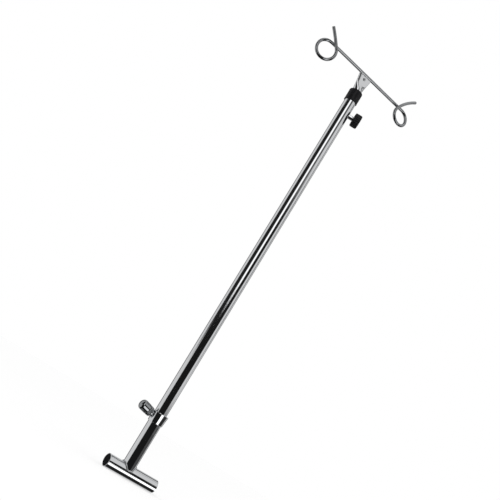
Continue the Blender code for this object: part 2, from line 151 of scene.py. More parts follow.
def filleted(corners, steps=5):
    """Outline whose corners (radius, height, fillet) are rounded by their fillets."""
    points = []
    count = len(corners)
    for index, (x, y, fillet) in enumerate(corners):
        here = Vector((x, y))
        before = Vector(corners[index - 1][:2])
        after = Vector(corners[(index + 1) % count][:2])
        if fillet <= 0.0:
            points.append((x, y))
            continue
        to_before = (before - here).normalized()
        to_after = (after - here).normalized()
        half = 0.5 * to_before.angle(to_after)
        reach = fillet / max(1e-6, abs(sin(half) / cos(half)))
        start = here + to_before * reach
        end = here + to_after * reach
        centre = here + (to_before + to_after).normalized() * (fillet / sin(half))
        first = atan2(start.y - centre.y, start.x - centre.x)
        last = atan2(end.y - centre.y, end.x - centre.x)
        sweep = (last - first + pi) % (2.0 * pi) - pi
        for step in range(steps + 1):
            angle = first + sweep * step / steps
            points.append((centre.x + fillet * cos(angle), centre.y + fillet * sin(angle)))
    return points


def lathe(name, outline, material, matrix=None, segments=ROUND, relief=None, closed=True):
    """Spins an outline of (radius, height) about Z, with an optional relief.

    The relief is a function of (angle, radius, height) that gives how far a point
    moves outwards. A closed outline makes a ring, and an open one ends on the axis.
    """
    bm = bmesh.new()
    rows = []
    for radius, height in outline:
        if radius < 1e-7:
            rows.append([bm.verts.new((0.0, 0.0, height))])
            continue
        row = []
        for step in range(segments):
            angle = 2.0 * pi * step / segments
            out = radius + (relief(angle, radius, height) if relief else 0.0)
            row.append(bm.verts.new((out * cos(angle), out * sin(angle), height)))
        rows.append(row)
    pairs = list(zip(rows, rows[1:]))
    if closed:
        pairs.append((rows[-1], rows[0]))
    for lower, upper in pairs:
        for step in range(segments):
            after = (step + 1) % segments
            corners = [
                lower[step % len(lower)],
                lower[after % len(lower)],
                upper[after % len(upper)],
                upper[step % len(upper)],
            ]
            unique = list(dict.fromkeys(corners))
            if len(unique) > 2:
                bm.faces.new(unique)
    piece = mesh_object(name, bm, material)
    if matrix is not None:
        piece.data.transform(matrix)
    return piece


def spread(start, end, step):
    """Values from start to end, about a step apart."""
    count = max(1, round(abs(end - start) / step))
    return [start + (end - start) * index / count for index in range(count + 1)]


def tube_outline(inner, outer, bottom, top, edge=0.0003, rings=()):
    """Closed outline of a tube with rounded rims, with extra rings up its outside."""
    inner_edge = min(0.0002, 0.3 * (outer - inner))
    base = filleted([
        (inner, bottom, inner_edge),
        (outer, bottom, min(edge, 0.45 * (outer - inner))),
        (outer, top, min(edge, 0.45 * (outer - inner))),
        (inner, top, inner_edge),
    ])
    half = len(base) // 2
    return base[:half] + [(outer, height) for height in rings] + base[half:]


def swept(name, points, radii, material, sides=28, relief=None):
    """A round wire through the points, closed at both ends."""
    bm = bmesh.new()
    rows = []
    tangent = (points[1] - points[0]).normalized()
    side = tangent.orthogonal().normalized()
    run = 0.0
    for index, point in enumerate(points):
        before = points[max(0, index - 1)]
        after = points[min(len(points) - 1, index + 1)]
        new_tangent = (after - before).normalized()
        side.rotate(tangent.rotation_difference(new_tangent))
        tangent = new_tangent
        other = tangent.cross(side).normalized()
        run += (point - before).length
        row = []
        for step in range(sides):
            angle = 2.0 * pi * step / sides
            radius = radii[index] + (relief(angle, run) if relief else 0.0)
            row.append(bm.verts.new(point + radius * (cos(angle) * side + sin(angle) * other)))
        rows.append(row)
    for lower, upper in zip(rows, rows[1:]):
        for step in range(sides):
            after = (step + 1) % sides
            bm.faces.new((lower[step], lower[after], upper[after], upper[step]))
    bm.faces.new(rows[0])
    bm.faces.new(rows[-1])
    return mesh_object(name, bm, material)


def ring_sweep(name, points, radius, material, sides=12, relief=None):
    """A closed bead through a ring of points."""
    bm = bmesh.new()
    rows = []
    count = len(points)
    centre = sum(points, Vector()) / count
    for index, point in enumerate(points):
        tangent = (points[(index + 1) % count] - points[index - 1]).normalized()
        outward = (point - centre).normalized()
        outward = (outward - tangent * outward.dot(tangent)).normalized()
        other = tangent.cross(outward).normalized()
        row = []
        for step in range(sides):
            angle = 2.0 * pi * step / sides
            out = radius + (relief(angle, index) if relief else 0.0)
            row.append(bm.verts.new(point + out * (cos(angle) * outward + sin(angle) * other)))
        rows.append(row)
    for index in range(count):
        lower = rows[index]
        upper = rows[(index + 1) % count]
        for step in range(sides):
            after = (step + 1) % sides
            bm.faces.new((lower[step], lower[after], upper[after], upper[step]))
    return mesh_object(name, bm, material)


def cylinder_cut(piece, radius, length, matrix):
    """Cuts a round hole out of a piece and keeps the result as its mesh."""
    outline = [(0.0, -0.5 * length), (radius, -0.5 * length), (radius, 0.5 * length),
               (0.0, 0.5 * length)]
    cutter = lathe("hole_cutter", outline, piece.data.materials[0], matrix, FINE, closed=False)
    modifier = piece.modifiers.new("cut", "BOOLEAN")
    modifier.operation = "DIFFERENCE"
    modifier.solver = "EXACT"
    modifier.object = cutter
    bpy.context.view_layer.update()
    evaluated = piece.evaluated_get(bpy.context.evaluated_depsgraph_get())
    mesh = bpy.data.meshes.new_from_object(evaluated)
    piece.modifiers.clear()
    piece.data = mesh
    mesh.shade_smooth()
    mesh.set_sharp_from_angle(angle=radians(SHARP_ANGLE))
    bpy.data.objects.remove(cutter, do_unlink=True)


def place(piece, body, slot, *nodes):
    """Puts a finished piece on its body, in the place of its CAD nodes."""
    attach(piece, body)
    if nodes:
        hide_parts(*nodes)
    return piece


# ---------------------------------------------------------------- materials
class Nodes:
    """Small helper that adds and joins shader nodes."""

    def __init__(self, tree):
        self.tree = tree

    def add(self, kind, **settings):
        node = self.tree.nodes.new(kind)
        for key, value in settings.items():
            setattr(node, key, value)
        return node

    def link(self, source, target):
        self.tree.links.new(source, target)

    def noise(self, coordinates, scale, stretch=(1.0, 1.0, 1.0), detail=4.0, rough=0.55):
        mapping = self.add("ShaderNodeMapping")
        mapping.inputs["Scale"].default_value = stretch
        self.link(coordinates, mapping.inputs["Vector"])
        noise = self.add("ShaderNodeTexNoise")
        noise.inputs["Scale"].default_value = scale
        noise.inputs["Detail"].default_value = detail
        noise.inputs["Roughness"].default_value = rough
        self.link(mapping.outputs["Vector"], noise.inputs["Vector"])
        return noise.outputs["Fac"]

    def remap(self, value, low, high, to_low, to_high, smooth=True):
        node = self.add("ShaderNodeMapRange")
        node.interpolation_type = "SMOOTHSTEP" if smooth else "LINEAR"
        node.clamp = True
        self.link(value, node.inputs["Value"])
        for key, number in (("From Min", low), ("From Max", high),
                            ("To Min", to_low), ("To Max", to_high)):
            node.inputs[key].default_value = number
        return node.outputs["Result"]

    def math(self, operation, first, second=0.0):
        node = self.add("ShaderNodeMath", operation=operation)
        for socket, value in zip(node.inputs, (first, second)):
            if isinstance(value, (int, float)):
                socket.default_value = value
            else:
                self.link(value, socket)
        return node.outputs["Value"]

    def mix_colour(self, share, first, second):
        node = self.add("ShaderNodeMix", data_type="RGBA")
        for socket, value in ((node.inputs["Factor"], share), (node.inputs[6], first),
                              (node.inputs[7], second)):
            if isinstance(value, tuple):
                socket.default_value = (*value, 1.0)
            elif isinstance(value, (int, float)):
                socket.default_value = value
            else:
                self.link(value, socket)
        return node.outputs[2]

    def bump(self, height, strength, distance, base=None):
        node = self.add("ShaderNodeBump")
        node.inputs["Strength"].default_value = strength
        node.inputs["Distance"].default_value = distance
        self.link(height, node.inputs["Height"])
        if base is not None:
            self.link(base, node.inputs["Normal"])
        return node.outputs["Normal"]


def new_material(name, metallic):
    material = bpy.data.materials.new(name)
    material.use_nodes = True
    tree = material.node_tree
    shader = tree.nodes["Principled BSDF"]
    shader.inputs["Metallic"].default_value = metallic
    nodes = Nodes(tree)
    place_in_piece = nodes.add("ShaderNodeTexCoord").outputs["Object"]
    return material, shader, nodes, place_in_piece


def plated_metal(name, colour, worn, smooth, rough, stretch, scratch=0.35, peel=0.05):
    """Plated metal with smudges, fine scratches along the piece and a faint orange peel."""
    material, shader, nodes, coordinates = new_material(name, 1.0)
    smudge = nodes.noise(coordinates, 70.0, (1.0, 1.0, 0.6), 5.0, 0.6)
    smudge = nodes.remap(smudge, 0.46, 0.72, 0.0, 1.0)
    lines = nodes.noise(coordinates, 1.0, stretch, 3.0, 0.6)
    hairs = nodes.remap(lines, 0.63, 0.70, 0.0, 1.0)
    pits = nodes.noise(coordinates, 1900.0, (1.0, 1.0, 1.0), 2.0, 0.5)
    specks = nodes.remap(pits, 0.735, 0.77, 0.0, 1.0)
    marks = nodes.math("MAXIMUM", nodes.math("MULTIPLY", hairs, 0.35), specks)
    nodes.link(
        nodes.mix_colour(marks, colour, worn),
        shader.inputs["Base Color"],
    )
    roughness = nodes.remap(smudge, 0.0, 1.0, smooth, rough)
    roughness = nodes.math("ADD", roughness, nodes.math("MULTIPLY", marks, 0.14))
    nodes.link(roughness, shader.inputs["Roughness"])
    orange = nodes.noise(coordinates, 420.0, (1.0, 1.0, 1.0), 2.0, 0.5)
    normal = nodes.bump(orange, peel, 0.00030)
    normal = nodes.bump(lines, scratch, 0.000004, normal)
    nodes.link(normal, shader.inputs["Normal"])
    return material


def moulded_plastic(name, colour, pale, smooth, rough, sheen=0.5):
    """Moulded plastic with a fine spark-eroded grain and rubbed, paler high spots."""
    material, shader, nodes, coordinates = new_material(name, 0.0)
    cloud = nodes.noise(coordinates, 160.0, (1.0, 1.0, 1.0), 5.0, 0.6)
    rub = nodes.remap(cloud, 0.48, 0.70, 0.0, 1.0)
    dust = nodes.noise(coordinates, 2600.0, (1.0, 1.0, 1.0), 2.0, 0.5)
    dust = nodes.remap(dust, 0.66, 0.74, 0.0, 1.0)
    tone = nodes.math("MAXIMUM", nodes.math("MULTIPLY", rub, 0.45), dust)
    nodes.link(nodes.mix_colour(tone, colour, pale), shader.inputs["Base Color"])
    nodes.link(nodes.remap(rub, 0.0, 1.0, rough, smooth), shader.inputs["Roughness"])
    fine = nodes.noise(coordinates, 3400.0, (1.0, 1.0, 1.0), 3.0, 0.6)
    nodes.link(nodes.bump(fine, 0.12, 0.00006), shader.inputs["Normal"])
    shader.inputs["Specular IOR Level"].default_value = sheen
    return material


def make_materials():
    along_z = (900.0, 900.0, 16.0)
    along_x = (16.0, 900.0, 900.0)
    around = (500.0, 500.0, 500.0)
    bright = (0.84, 0.85, 0.865)
    dull = (0.42, 0.42, 0.43)
    return {
        "tube": plated_metal("chrome_pole", bright, dull, 0.045, 0.085, along_z),
        "cross": plated_metal("chrome_cross_tube", bright, dull, 0.045, 0.085, along_x),
        "turned": plated_metal("chrome_turned", bright, dull, 0.06, 0.11, around, 0.25),
        # Painted shade: the head's chrome colour is far darker than the pole's. It stands in for
        # darker reflections on the head.
        "head": plated_metal("chrome_head_painted_shade", (0.36, 0.37, 0.38), dull, 0.06, 0.11, around, 0.25),
        # Painted shade: the wire's chrome colour is also darkened below the pole's. It stands in
        # for darker reflections along the wire.
        "wire": plated_metal("chrome_wire_painted_shade", (0.37, 0.38, 0.39), dull, 0.05, 0.10, around, 0.25,
                             0.04),
        "weld": plated_metal("chrome_weld", (0.80, 0.81, 0.82), dull, 0.09, 0.19, around,
                             0.3, 0.25),
        "steel": plated_metal("zinc_plate", (0.62, 0.63, 0.64), (0.36, 0.36, 0.35), 0.24,
                              0.38, around),
        "brass": plated_metal("brass_turned", (0.74, 0.54, 0.24), (0.42, 0.30, 0.13), 0.20,
                              0.34, around),
        "black": moulded_plastic("plastic_black", (0.006, 0.006, 0.007),
                                 (0.020, 0.020, 0.021), 0.24, 0.38, 0.2),
        "plug": moulded_plastic("plug_black", (0.004, 0.004, 0.005),
                                (0.012, 0.012, 0.013), 0.50, 0.62, 0.06),
        "nylon": moulded_plastic("nylon_natural", (0.72, 0.70, 0.64), (0.80, 0.78, 0.72),
                                 0.36, 0.50),
    }


# ---------------------------------------------------------------- foot
def build_tee(materials):
    low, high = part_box("tee_tube")
    lie_down = Matrix.Rotation(pi / 2.0, 4, "Y")
    outline = tube_outline(TEE_RADIUS - TEE_WALL, TEE_RADIUS, low.x, high.x, 0.0005)
    tee = lathe("cross_tube", outline, materials["cross"], lie_down)
    weight_normals(tee)
    place(tee, "foot", "chrome", "tee_tube")


def build_plug(name, node, end, side, materials):
    """End plug with a dished face, a raised rim and ribs on its body."""
    bore = TEE_RADIUS - TEE_WALL - GAP
    body = bore - 0.0008
    corners = [
        (0.0, 0.00002, 0.0),
        (0.0013, 0.00002, 0.0001),
        (0.0016, 0.0002, 0.0001),
        (0.0072, 0.0002, 0.0002),
        (0.0076, 0.0004, 0.00015),
        (bore, 0.0004, 0.0005),
        (bore, -0.0020, 0.0002),
        (body, -0.0024, 0.0001),
    ]
    for rib in range(3):
        top = -0.0048 - rib * 0.0030
        corners += [(body, top, 0.0001), (bore, top - 0.0006, 0.0002),
                    (body, top - 0.0012, 0.0001)]
    corners += [(body, -0.0140, 0.0003), (body - 0.0016, -0.0140, 0.0003),
                (body - 0.0016, -0.0022, 0.0004), (0.0, -0.0022, 0.0)]
    matrix = along(Vector((end, 0.0, 0.0)), X_AXIS * side)
    plug = lathe(name, filleted(corners, 3), materials["plug"], matrix, closed=False)
    weight_normals(plug)
    place(plug, "foot", "black_plastic", node)


def build_socket(materials):
    low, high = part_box("socket_tube")
    outline = tube_outline(
        SOCKET_RADIUS - SOCKET_WALL, SOCKET_RADIUS, low.z, high.z, 0.0002,
        spread(0.020, 0.095, 0.015),
    )
    socket = lathe("socket_tube_fine", outline, materials["tube"])
    across = Matrix.Rotation(pi / 2.0, 4, "Y")
    cylinder_cut(socket, TEE_RADIUS + GAP, 4.0 * TEE_RADIUS, across)
    cylinder_cut(socket, STUD_HOLE_RADIUS, STUD_HOLE_LENGTH,
                 along(LOWER_SCREW_START, LOWER_SCREW_AXIS))
    weight_normals(socket)
    place(socket, "foot", "chrome", "socket_tube")


def build_tee_weld(materials):
    """Bead in the corner of the two tubes, with the ripples of a fine weld."""
    bead = 0.0009
    on_socket = SOCKET_RADIUS + GAP + bead
    on_tee = TEE_RADIUS + GAP + bead
    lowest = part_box("socket_tube")[0].z
    count = 360
    points = []
    for step in range(count):
        angle = 2.0 * pi * step / count
        across = on_socket * sin(angle)
        height = sqrt(max(on_tee**2 - across**2, lowest**2))
        points.append(Vector((on_socket * cos(angle), across, height)))
    weld = ring_sweep(
        "tee_weld_rippled", points, bead, materials["weld"], 14,
        lambda angle, index: WELD_RIPPLE * sin(2.0 * pi * index / 5.0) - WELD_SINK,
    )
    place(weld, "foot", "chrome", "tee_weld_bead")


def build_collar(materials):
    low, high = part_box("socket_collar")
    bore = SOCKET_RADIUS + GAP
    lip_bore = MAIN_RADIUS + GAP
    lip_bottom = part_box("socket_tube")[1].z + GAP
    corners = [
        (bore, low.z, 0.0002),
        (COLLAR_BOTTOM_RADIUS, low.z, 0.0004),
        (COLLAR_TOP_RADIUS, high.z, 0.0008),
        (lip_bore, high.z, 0.0004),
        (lip_bore, lip_bottom, 0.0002),
        (bore, lip_bottom, 0.0002),
    ]
    collar = lathe("collar_fine", filleted(corners), materials["turned"])
    cylinder_cut(collar, BOSS_HOLE_RADIUS, STUD_HOLE_LENGTH,
                 along(LOWER_SCREW_START, LOWER_SCREW_AXIS))
    weight_normals(collar)
    place(collar, "foot", "chrome", "socket_collar")


# ---------------------------------------------------------------- main stage
def build_main_tube(materials):
    low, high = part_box("main_tube")
    rings = [0.18, 0.76, 0.780, 0.790, 0.7965, 0.8155, 0.822, 0.830]
    outline = tube_outline(
        MAIN_RADIUS - MAIN_WALL, MAIN_RADIUS, low.z, high.z, 0.0003, rings
    )
    tube = lathe("main_tube_fine", outline, materials["tube"])
    hole = KNOB_START + (MAIN_RADIUS - INNER_RADIUS) * KNOB_AXIS
    cylinder_cut(tube, STUD_HOLE_RADIUS, STUD_HOLE_LENGTH, along(hole, KNOB_AXIS))
    weight_normals(tube)
    place(tube, "main_stage", "chrome", "main_tube")


def build_cap(materials):
    low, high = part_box("top_cap")
    bore = MAIN_RADIUS + GAP
    hole = INNER_RADIUS + GAP
    ceiling = high.z - 0.0029
    corners = [
        (bore, low.z, 0.0002),
        (CAP_RADIUS, low.z, 0.0005),
        (CAP_RADIUS, low.z + 0.0022, 0.0002),
        (CAP_RADIUS - 0.00022, low.z + 0.0025, 0.0001),
        (CAP_RADIUS - 0.00010, high.z, 0.0034),
        (hole + 0.0006, high.z, 0.0003),
        (hole, high.z - 0.0007, 0.0002),
        (hole, ceiling, 0.0002),
        (bore, ceiling, 0.0002),
    ]
    cap = lathe("top_cap_fine", filleted(corners, 7), materials["black"])
    weight_normals(cap)
    place(cap, "main_stage", "black_plastic", "top_cap")


# ---------------------------------------------------------------- hook stage
def flattened_ring(height, count):
    """Section of the hook tube at a height, from round to wide and flat."""
    widened = min(1.0, (height - FLATTEN_START) / (WIDEN_END - FLATTEN_START))
    pressed = min(1.0, (height - FLATTEN_START) / (PRESS_END - FLATTEN_START))
    pressed = 0.5 - 0.5 * cos(pi * pressed)
    width = INNER_RADIUS + (FLAT_HALF_WIDTH - INNER_RADIUS) * widened
    thickness = INNER_RADIUS + (FLAT_HALF_THICKNESS - INNER_RADIUS) * pressed
    power = 2.0 / (2.0 + 0.7 * pressed)
    points = []
    for step in range(count):
        angle = 2.0 * pi * (step + 0.5) / count
        across = abs(cos(angle)) ** power
        through = abs(sin(angle)) ** power
        across = across if cos(angle) > 0.0 else -across
        through = through if sin(angle) > 0.0 else -through
        points.append(Vector((width * across, thickness * through, height)))
    return points


def build_inner_tube(materials):
    """Hook tube with its pressed top and its wire seat."""
    count = 96
    low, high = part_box("inner_tube")
    bore = INNER_RADIUS - INNER_WALL
    flat_top = high.z
    rings = []
    for radius, height in ((bore, FLATTEN_START - 0.008), (bore, low.z),
                           (INNER_RADIUS, low.z), (INNER_RADIUS, 0.84), (INNER_RADIUS, 0.856)):
        rings.append([
            Vector((radius * cos(2.0 * pi * (step + 0.5) / count),
                    radius * sin(2.0 * pi * (step + 0.5) / count), height))
            for step in range(count)
        ])
    for height in spread(FLATTEN_START, WIDEN_END, 0.001) + [flat_top - 0.0004]:
        rings.append(flattened_ring(height, count))
    rings.append([
        Vector((0.985 * point.x, point.y - (0.0003 if point.y > 0.0 else -0.0003), flat_top))
        for point in flattened_ring(flat_top, count)
    ])
    bm = bmesh.new()
    rows = [[bm.verts.new(point) for point in ring] for ring in rings]
    for lower, upper in zip(rows, rows[1:]):
        for step in range(count):
            after = (step + 1) % count
            bm.faces.new((lower[step], lower[after], upper[after], upper[step]))
    bm.faces.new(rows[0])
    bm.faces.new(rows[-1])
    tube = mesh_object("inner_tube_fine", bm, materials["tube"])
    cylinder_cut(
        tube, WIRE_RADIUS + 0.5 * GAP, 4.0 * FLAT_HALF_WIDTH,
        along(Vector((0.0, 0.0, WIRE_HEIGHT)), X_AXIS),
    )
    place(tube, "hook_stage", "chrome", "inner_tube")


def loop_line(side, loop):
    """Centre line of one end of the wire, from the bar's end to the tail's tip."""
    yaw = radians(loop["yaw"])
    tilt = radians(loop["tilt"])
    radius = loop["radius"]
    forward = Vector((-side * sin(yaw), -cos(yaw), 0.0))
    outward = Vector((side * cos(yaw), -sin(yaw), 0.0))
    upward = cos(tilt) * Z_AXIS + sin(tilt) * forward
    normal = cos(tilt) * forward - sin(tilt) * Z_AXIS
    points = []
    bend = abs(yaw)
    bend_start = loop["reach"] - BEND_RADIUS * sin(bend)
    bend_steps = 6
    for step in range(bend_steps + 1):
        angle = bend * step / bend_steps
        points.append(Vector((
            side * (bend_start + BEND_RADIUS * sin(angle)),
            -copysign(BEND_RADIUS * (1.0 - cos(angle)), yaw),
            WIRE_HEIGHT,
        )))
    top = points.pop()
    centre = top - radius * upward
    steps = 96
    for step in range(steps + 1):
        share = step / steps
        angle = radians(loop["turn"]) * share
        points.append(
            centre
            + radius * (sin(angle) * outward + cos(angle) * upward)
            + loop["climb"] * share * normal
        )
    tail_steps = 16
    angle = radians(loop["turn"])
    for step in range(tail_steps):
        angle += radians(loop["tail_turn"]) / tail_steps
        heading = cos(angle) * outward - sin(angle) * upward
        points.append(points[-1] + heading * loop["tail"] / tail_steps)
    return points


def smoothed(points, rounds):
    """Evens out the small corners where the line's parts meet."""
    for _ in range(rounds):
        points = [points[0]] + [
            0.25 * before + 0.5 * here + 0.25 * after
            for before, here, after in zip(points, points[1:], points[2:])
        ] + [points[-1]]
    return points


def rounded_tip(line, nose):
    """Adds points so that the wire's end can be drawn with a rounded nose."""
    tip = line[-1]
    heading = (line[-1] - line[-2]).normalized()
    kept = [point for point in line if (tip - point).dot(heading) > nose or
            (tip - point).length > 3.0 * nose]
    steps = 8
    radii = [WIRE_RADIUS] * len(kept)
    for step in range(steps + 1):
        share = sin(0.5 * pi * step / steps)
        kept.append(tip - heading * nose * (1.0 - share))
        shrink = sqrt(max(0.0, 1.0 - share * share))
        radii.append(WIRE_RADIUS - nose * (1.0 - shrink))
    return kept, radii


def build_hook_wire(materials):
    """One wire: left tail, left loop, bar, right loop, right tail."""
    nose = 0.0011
    left, left_radii = rounded_tip(smoothed(loop_line(-1.0, LEFT_LOOP), 3), nose)
    right, right_radii = rounded_tip(smoothed(loop_line(1.0, RIGHT_LOOP), 3), nose)
    bar = [
        left[0].lerp(right[0], share / 24.0) for share in range(1, 24)
    ]
    points = left[::-1] + bar + right
    radii = left_radii[::-1] + [WIRE_RADIUS] * len(bar) + right_radii
    wire = swept("hook_wire_fine", points, radii, materials["wire"])
    place(wire, "hook_stage", "chrome", "hook_wire")


def build_hook_weld(name, node, side, materials):
    """Rippled fillet between the wire and one face of the pressed tube."""
    bead = 0.0008
    from_wire = WIRE_RADIUS + GAP + bead
    across = FLAT_HALF_THICKNESS + GAP + bead
    height = WIRE_HEIGHT - sqrt(from_wire**2 - across**2)
    half_length = FLAT_HALF_WIDTH - 0.0035
    line = [Vector((x, side * across, height)) for x in spread(-half_length, half_length, 0.00025)]
    radii = []
    for point in line:
        to_end = half_length - abs(point.x)
        radii.append(bead * min(1.0, 0.35 + 0.65 * sqrt(max(0.0, min(1.0, to_end / 0.0012)))))
    weld = swept(
        name, line, radii, materials["weld"], 14,
        lambda angle, run: WELD_RIPPLE * sin(2.0 * pi * run / 0.0013) - WELD_SINK,
    )
    place(weld, "hook_stage", "chrome", node)


def build_rivet(materials):
    """Domed rivet through the pressed walls."""
    low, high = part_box("crimp_rivet")
    shank = 0.0017
    head = 0.5 * (high.x - low.x)
    reach = FLAT_HALF_THICKNESS + GAP
    rise = high.y - reach
    outline = [(0.0, -reach - rise)]
    outline += [
        (head * sin(radians(angle)), -reach - rise * cos(radians(angle)))
        for angle in range(10, 81, 10)
    ]
    outline += [(head, -reach - 0.0001), (head, -reach), (shank, -reach)]
    outline += [(radius, -height) for radius, height in outline[::-1]]
    matrix = along(0.5 * (low + high), Y_AXIS)
    rivet = lathe("crimp_rivet_fine", outline, materials["steel"], matrix, FINE, closed=False)
    place(rivet, "hook_stage", "zinc_plated_steel", "crimp_rivet")


# ---------------------------------------------------------------- clamp screws
def thread(angle, height):
    """How far an M6 thread's flank lies below its crest, as a negative number."""
    phase = (height / SCREW_PITCH - angle / (2.0 * pi)) % 1.0
    return -THREAD_DEPTH * max(0.0, 1.0 - abs(2.0 * phase - 1.0) * 1.25)


def build_stud(name, node, body, start, end, matrix, materials):
    def relief(angle, radius, height):
        if radius < 0.9 * STUD_RADIUS:
            return 0.0
        ends = min(1.0, (height - start) / SCREW_PITCH, (end - height) / SCREW_PITCH)
        return thread(angle, height) * max(0.0, ends)

    bevel = 0.0006
    outline = [(0.0, start), (STUD_RADIUS - bevel, start)]
    outline += [(STUD_RADIUS, height) for height in spread(start + bevel, end - bevel, 0.000125)]
    outline += [(STUD_RADIUS - bevel, end), (0.0, end)]
    stud = lathe(name, outline, materials["steel"], matrix, 36, relief, closed=False)
    place(stud, body, "zinc_plated_steel", node)


def build_lower_screw(materials):
    """Thumb head: flange, knurled band, groove, plain drum and domed end."""
    root = 0.0062
    flange = 0.0092
    band = 0.0091
    groove = 0.0081
    drum = 0.0099
    crown = 0.0340
    dome = 0.0070
    band_start = root + 0.0022
    band_end = root + 0.0078
    socket_end = root + 0.0120
    bevel = 0.0003
    knurl_pitch = 0.0011
    knurl_depth = 0.00055
    teeth = round(2.0 * pi * band / knurl_pitch)

    def relief(angle, radius, height):
        if not band_start <= height <= band_end or radius < band - 0.0001:
            return 0.0
        rise = height / knurl_pitch
        turn = angle * teeth / (2.0 * pi)
        first = abs((turn + rise) % 1.0 - 0.5)
        second = abs((turn - rise) % 1.0 - 0.5)
        edge = min(1.0, (height - band_start) / bevel, (band_end - height) / bevel)
        return (min(first, second) * 2.0 * knurl_depth - 0.00015) * max(0.0, edge)

    outline = [(0.0, socket_end), (STUD_HOLE_RADIUS, socket_end), (STUD_HOLE_RADIUS, root)]
    outline += filleted([
        (flange - 0.002, root, 0.0),
        (flange, root, 0.0003),
        (flange, root + 0.0014, 0.0003),
        (groove + 0.0004, root + 0.0016, 0.0),
    ], 4)
    outline += [(band, height) for height in spread(band_start, band_end, 0.00014)]
    outline += [(groove, band_end + 0.0002), (groove, band_end + 0.0010)]
    outline += filleted([
        (groove, band_end + 0.0012, 0.0),
        (drum, band_end + 0.0014, 0.0004),
        (drum, crown - dome, 0.0),
    ], 4)[1:]
    dome_steps = 16
    for step in range(1, dome_steps + 1):
        angle = 0.5 * pi * step / dome_steps
        radius = drum * cos(angle) ** 0.9 if step < dome_steps else 0.0
        outline.append((radius, crown - dome * (1.0 - sin(angle))))
    matrix = along(LOWER_SCREW_START, LOWER_SCREW_AXIS)
    head = lathe("lower_screw_head_fine", outline, materials["head"], matrix, 288, relief,
                 closed=False)
    weight_normals(head)
    place(head, "lower_screw", "chrome", "lower_screw_head")
    build_stud("lower_screw_stud_threaded", "lower_screw_stud", "lower_screw", 0.0028,
               socket_end - GAP, matrix, materials)


def build_bosses(materials):
    matrix = along(LOWER_SCREW_START, LOWER_SCREW_AXIS)
    outline = tube_outline(STUD_HOLE_RADIUS, 0.0052, 0.0027, 0.0059, 0.0004)
    lower = lathe("lower_screw_boss_fine", outline, materials["turned"], matrix, FINE)
    place(lower, "foot", "chrome", "lower_screw_boss")

    outline = tube_outline(STUD_HOLE_RADIUS, 0.0048, 0.0010, 0.0112, 0.0004,
                           [0.0036, 0.0050, 0.0080])
    boss = lathe("knob_boss_fine", outline, materials["turned"], along(KNOB_START, KNOB_AXIS), FINE)
    cylinder_cut(boss, MAIN_RADIUS + GAP, 0.030,
                 Matrix.Translation(Vector((0.0, 0.0, KNOB_START.z))))
    place(boss, "main_stage", "chrome", "knob_boss")


def build_knob(materials):
    """Round knob with a fluted rim, a dished outer face and a hub round the insert."""
    inner_face = 0.0127
    outer_face = 0.0275
    rim = 0.0145
    bore = 0.0049
    insert_end = 0.0227
    edge = 0.0026
    flutes = 20
    flute_depth = 0.00075
    fade = 0.0022

    def relief(angle, radius, height):
        if radius < rim - edge:
            return 0.0
        share = min(1.0, (height - inner_face) / fade, (outer_face - height) / fade)
        wave = 0.5 + 0.5 * cos(flutes * angle)
        return -flute_depth * wave**3 * max(0.0, share)

    sides = [(rim, height) for height in spread(inner_face + edge, outer_face - edge, 0.001)]
    outline = [(0.0, insert_end + GAP), (bore, insert_end + GAP), (bore, inner_face + 0.0002)]
    outline += [(0.0052, inner_face), (0.0078, inner_face), (0.0081, inner_face + 0.0005),
                (0.0090, inner_face + 0.0005), (0.0093, inner_face)]
    outline += [
        (rim - edge + edge * cos(radians(angle)), inner_face + edge + edge * sin(radians(angle)))
        for angle in range(-90, 0, 10)
    ]
    outline += sides
    outline += [
        (rim - edge + edge * cos(radians(angle)), outer_face - edge + edge * sin(radians(angle)))
        for angle in range(10, 91, 10)
    ]
    outline += [(0.0090, outer_face - 0.0001), (0.0084, outer_face - 0.0005),
                (0.0040, outer_face - 0.0009), (0.0, outer_face - 0.0010)]
    matrix = along(KNOB_START, KNOB_AXIS)
    knob = lathe("knob_head_fluted", outline, materials["black"], matrix, 240, relief,
                 closed=False)
    weight_normals(knob)
    place(knob, "knob", "black_plastic", "knob_head")
    build_stud("knob_stud_threaded", "knob_stud", "knob", 0.0028, insert_end - GAP, matrix,
               materials)


def finish_hidden_nodes(materials):
    """Finer materials on the CAD solids that stay."""
    finishes = {
        "lower_screw_pad": "brass", "knob_pad": "brass", "knob_insert": "steel",
        "main_tube_glide": "nylon", "guide_bushing": "nylon", "inner_tube_glide": "nylon",
        "stop_sleeve": "steel",
    }
    for node, finish in finishes.items():
        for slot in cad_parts[node].material_slots:
            slot.material = materials[finish]


# ---------------------------------------------------------------- studio
CAMERA_AZIMUTH = radians(-27.14)
CAMERA_ELEVATION = radians(-12.53)
CAMERA_ROLL = radians(31.44)
CAMERA_DISTANCE = 1.7239
CAMERA_ASIDE = -0.0164
CAMERA_AIM_HEIGHT = 0.4657
LENS = 64.98

